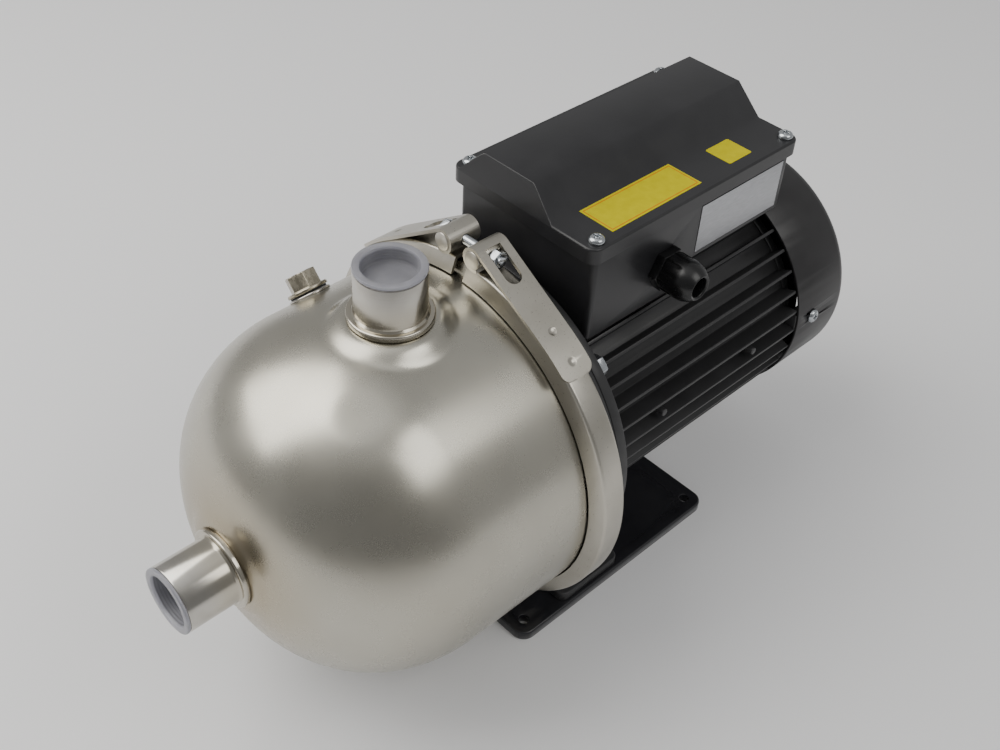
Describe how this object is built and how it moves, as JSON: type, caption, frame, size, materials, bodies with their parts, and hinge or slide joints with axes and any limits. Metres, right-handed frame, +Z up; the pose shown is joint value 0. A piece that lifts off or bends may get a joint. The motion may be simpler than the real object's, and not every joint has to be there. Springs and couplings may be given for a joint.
{
  "type": "multistage centrifugal pump",
  "caption": "Horizontal close-coupled centrifugal pump with a domed stainless barrel, V-band clamp, finned motor, terminal box and foot plate.",
  "frame": {"origin": "centre of the four foot holes, on the underside of the base plate", "axes": "+X along the shaft from the suction nozzle to the motor's fan end, +Z up along the discharge nozzle's axis, +Y to the side away from the cable gland"},
  "size_m": [0.4943, 0.2404, 0.287],
  "materials": {
    "stainless_barrel": "satin, deep drawn",
    "stainless_turned": "turned, satin",
    "stainless_clamp": "pressed, satin",
    "stainless_stage": "pressed and welded, satin",
    "plug_brass": "nickel plated",
    "cap_plastic": "translucent, soft",
    "zinc_steel": "bright zinc plated",
    "rubber_black": "matt",
    "wear_plastic": "matt",
    "seal_ceramic": "lapped",
    "seal_carbon": "lapped graphite",
    "spring_steel": "bright",
    "shaft_steel": "ground",
    "bearing_steel": "polished",
    "cage_steel": "pressed",
    "core_steel": "laminated",
    "copper_wire": "enamelled, laced",
    "black_cast": "satin black over casting",
    "black_sheet": "satin black over pressed sheet",
    "black_gloss": "gloss black",
    "black_box": "satin black, fine grain",
    "fan_plastic": "moulded",
    "board_plastic": "moulded",
    "stud_brass": "bright",
    "capacitor_can": "smooth",
    "gland_plastic": "moulded black",
    "plate_silver": "matt, bare"
  },
  "bodies": {
    "pump": {"pump_barrel": "stainless_barrel", "suction_nozzle": "stainless_turned", "discharge_nozzle": "stainless_turned", "plug_bosses": "stainless_turned", "clamp_band": "stainless_clamp", "clamp_straps": "stainless_clamp", "clamp_trunnions": "stainless_clamp", "pump_cover": "stainless_stage", "inlet_cone": "stainless_stage", "stage_chamber_1": "stainless_stage", "stage_chamber_2": "stainless_stage", "stage_chamber_3": "stainless_stage", "clamp_screw": "zinc_steel", "clamp_nut": "zinc_steel", "bracket_bolts": "zinc_steel", "base_screws": "zinc_steel", "cowl_screws": "zinc_steel", "barrel_o_ring": "rubber_black", "gland_seal": "rubber_black", "neck_rings": "wear_plastic", "seal_seat": "seal_ceramic", "wave_washer": "spring_steel", "bearing_outer_rings": "bearing_steel", "stator_core": "core_steel", "stator_windings": "copper_wire", "motor_bracket": "black_cast", "front_end_shield": "black_cast", "rear_end_shield": "black_cast", "motor_frame": "black_cast", "fan_cowl": "black_sheet", "base_plate": "black_gloss", "terminal_box": "black_box", "terminal_board": "board_plastic", "terminal_studs": "stud_brass", "run_capacitor": "capacitor_can", "gland_body": "gland_plastic", "gland_nut": "gland_plastic", "nameplate": "plate_silver"},
    "rotor": {"shaft": "shaft_steel", "impeller_1": "stainless_stage", "impeller_2": "stainless_stage", "impeller_3": "stainless_stage", "stage_spacers": "stainless_stage", "impeller_nut": "stainless_stage", "seal_rotating_ring": "seal_carbon", "seal_bellows": "rubber_black", "rotor_core": "core_steel", "bearing_inner_rings": "bearing_steel", "cooling_fan": "fan_plastic"},
    "rolling_sets": {"bearing_balls": "bearing_steel", "bearing_cages": "cage_steel"},
    "vent_seal_body": {"vent_plug_seal": "rubber_black"},
    "vent_plug_body": {"vent_plug": "plug_brass"},
    "drain_seal_body": {"drain_plug_seal": "rubber_black"},
    "drain_plug_body": {"drain_plug": "plug_brass"},
    "suction_cap_body": {"suction_cap": "cap_plastic"},
    "discharge_cap_body": {"discharge_cap": "cap_plastic"},
    "lid_body": {"terminal_lid": "black_box", "lid_gasket": "rubber_black", "lid_screws": "zinc_steel"}
  },
  "joints": [
    {"name": "rotor_spin", "type": "hinge", "parent": "pump", "child": "rotor", "pos_m": [-0.1285, 0, 0.129], "axis": [1, 0, 0], "continuous": true},
    {"name": "bearing_roll", "type": "hinge", "parent": "pump", "child": "rolling_sets", "pos_m": [-0.1285, 0, 0.129], "axis": [1, 0, 0], "continuous": true},
    {"name": "vent_plug_rise", "type": "slide", "parent": "pump", "child": "vent_seal_body", "axis": [0, 0.6909, 0.723], "range_m": [0, 0.00802]},
    {"name": "vent_plug_turn", "type": "hinge", "parent": "vent_seal_body", "child": "vent_plug_body", "pos_m": [-0.1265, 0.07648, 0.20903], "axis": [0, 0.6909, 0.723], "range_deg": [0, 2160]},
    {"name": "drain_plug_rise", "type": "slide", "parent": "pump", "child": "drain_seal_body", "axis": [0, 0.6909, -0.723], "range_m": [0, 0.00802]},
    {"name": "drain_plug_turn", "type": "hinge", "parent": "drain_seal_body", "child": "drain_plug_body", "pos_m": [-0.1265, 0.07648, 0.04897], "axis": [0, 0.6909, -0.723], "range_deg": [0, 2160]},
    {"name": "suction_cap_pull", "type": "slide", "parent": "pump", "child": "suction_cap_body", "axis": [-1, 0, 0], "range_m": [0, 0.06]},
    {"name": "discharge_cap_pull", "type": "slide", "parent": "pump", "child": "discharge_cap_body", "axis": [0, 0, 1], "range_m": [0, 0.06]},
    {"name": "lid_lift", "type": "slide", "parent": "pump", "child": "lid_body", "axis": [0, 0, 1], "range_m": [0, 0.08]}
  ],
  "couplings": [
    {"joint": "bearing_roll", "follows": "rotor_spin", "ratio": 0.38},
    {"joint": "vent_plug_turn", "follows": "vent_plug_rise", "rad_per_m": 4699.5},
    {"joint": "drain_plug_turn", "follows": "drain_plug_rise", "rad_per_m": 4699.5}
  ]
}
